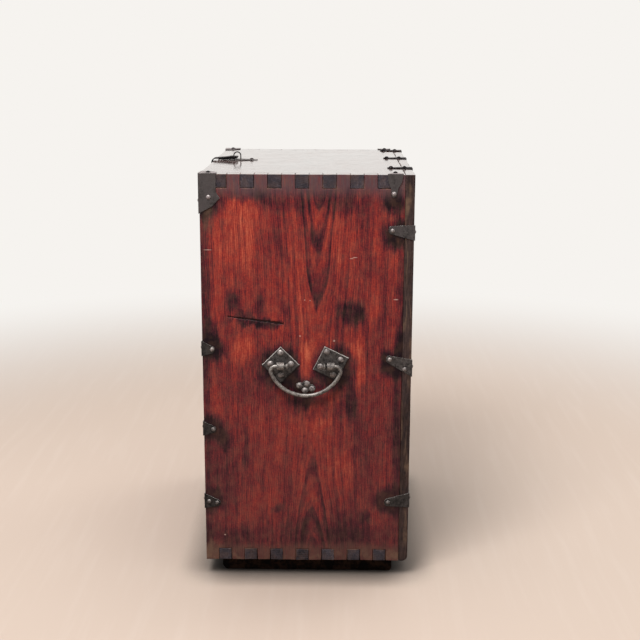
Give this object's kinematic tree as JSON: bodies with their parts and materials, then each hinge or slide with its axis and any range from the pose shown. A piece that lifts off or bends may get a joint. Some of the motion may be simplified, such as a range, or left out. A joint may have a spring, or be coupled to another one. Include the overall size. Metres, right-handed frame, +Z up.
{
  "type": "drop-front chest",
  "caption": "Upright lacquered wooden chest with finger-jointed boards, a drop-front door, black iron straps, a hasp on a ring staple and swinging bail handles at the ends.",
  "frame": {"origin": "on the floor, under the centre of the chest's board box", "axes": "+Z up, the front with the door faces -Y, the ends with the handles face +X and -X"},
  "size_m": [0.5976, 0.4188, 0.815],
  "materials": {
    "red_lacquered_wood": "worn red lacquer",
    "dark_lacquered_wood": "dark lacquer",
    "stained_back_wood": "dark stain",
    "bare_wood": "unfinished",
    "foot_wood": "dark stain",
    "black_iron": "blackened, worn"
  },
  "bodies": {
    "carcass": {"back_nails": "black_iron", "bottom_board": "dark_lacquered_wood", "door_rest_rail": "bare_wood", "front_nails": "black_iron", "hasp_backplate": "black_iron", "hasp_ring_staple": "black_iron", "left_back_board": "stained_back_wood", "left_door_stop": "bare_wood", "left_end_nails": "black_iron", "left_end_panel": "red_lacquered_wood", "left_foot_runner": "foot_wood", "left_front_corner_iron": "black_iron", "left_front_handle_eye": "black_iron", "left_front_handle_plate": "black_iron", "left_front_straps": "black_iron", "left_handle_studs": "black_iron", "left_hinge_panel_leaf": "black_iron", "left_hinge_pin": "black_iron", "left_rear_corner_strap": "black_iron", "left_rear_handle_eye": "black_iron", "left_rear_handle_plate": "black_iron", "left_rear_straps": "black_iron", "left_strike_plate": "black_iron", "lower_front_panel": "red_lacquered_wood", "middle_back_board": "stained_back_wood", "right_back_board": "stained_back_wood", "right_door_stop": "bare_wood", "right_end_nails": "black_iron", "right_end_panel": "red_lacquered_wood", "right_foot_runner": "foot_wood", "right_front_corner_iron": "black_iron", "right_front_handle_eye": "black_iron", "right_front_handle_plate": "black_iron", "right_front_straps": "black_iron", "right_handle_studs": "black_iron", "right_hinge_panel_leaf": "black_iron", "right_hinge_pin": "black_iron", "right_rear_corner_strap": "black_iron", "right_rear_handle_eye": "black_iron", "right_rear_handle_plate": "black_iron", "right_rear_straps": "black_iron", "right_strike_plate": "black_iron", "top_board": "dark_lacquered_wood", "top_nails": "black_iron", "top_rear_straps": "black_iron"},
    "hasp": {"hasp": "black_iron"},
    "right_bail": {"right_bail": "black_iron"},
    "left_bail": {"left_bail": "black_iron"},
    "right_pull": {"right_pull_bail": "black_iron"},
    "left_pull": {"left_pull_bail": "black_iron"},
    "door": {"door_panel": "red_lacquered_wood", "lock_plate": "black_iron", "lock_staple": "black_iron", "right_hinge_door_leaf": "black_iron", "left_hinge_door_leaf": "black_iron", "right_pull_eyes": "black_iron", "left_pull_eyes": "black_iron", "right_pull_rosettes": "black_iron", "left_pull_rosettes": "black_iron", "door_nails": "black_iron"}
  },
  "joints": [
    {"name": "door_drop", "type": "hinge", "parent": "carcass", "child": "door", "pos_m": [0, -0.2042, 0.4845], "axis": [1, 0, 0], "range_deg": [0, 165]},
    {"name": "hasp_lift", "type": "hinge", "parent": "carcass", "child": "hasp", "pos_m": [0, -0.152, 0.803], "axis": [-1, 0, 0], "range_deg": [0, 170]},
    {"name": "right_bail_swing", "type": "hinge", "parent": "carcass", "child": "right_bail", "pos_m": [0.291, -0.002, 0.433], "axis": [0, -1, 0], "range_deg": [0, 165]},
    {"name": "left_bail_swing", "type": "hinge", "parent": "carcass", "child": "left_bail", "pos_m": [-0.291, -0.002, 0.433], "axis": [0, 1, 0], "range_deg": [0, 165]},
    {"name": "right_pull_swing", "type": "hinge", "parent": "door", "child": "right_pull", "pos_m": [0.125, -0.208, 0.7], "axis": [-1, 0, 0], "range_deg": [0, 80]},
    {"name": "left_pull_swing", "type": "hinge", "parent": "door", "child": "left_pull", "pos_m": [-0.125, -0.208, 0.7], "axis": [-1, 0, 0], "range_deg": [0, 80]}
  ]
}
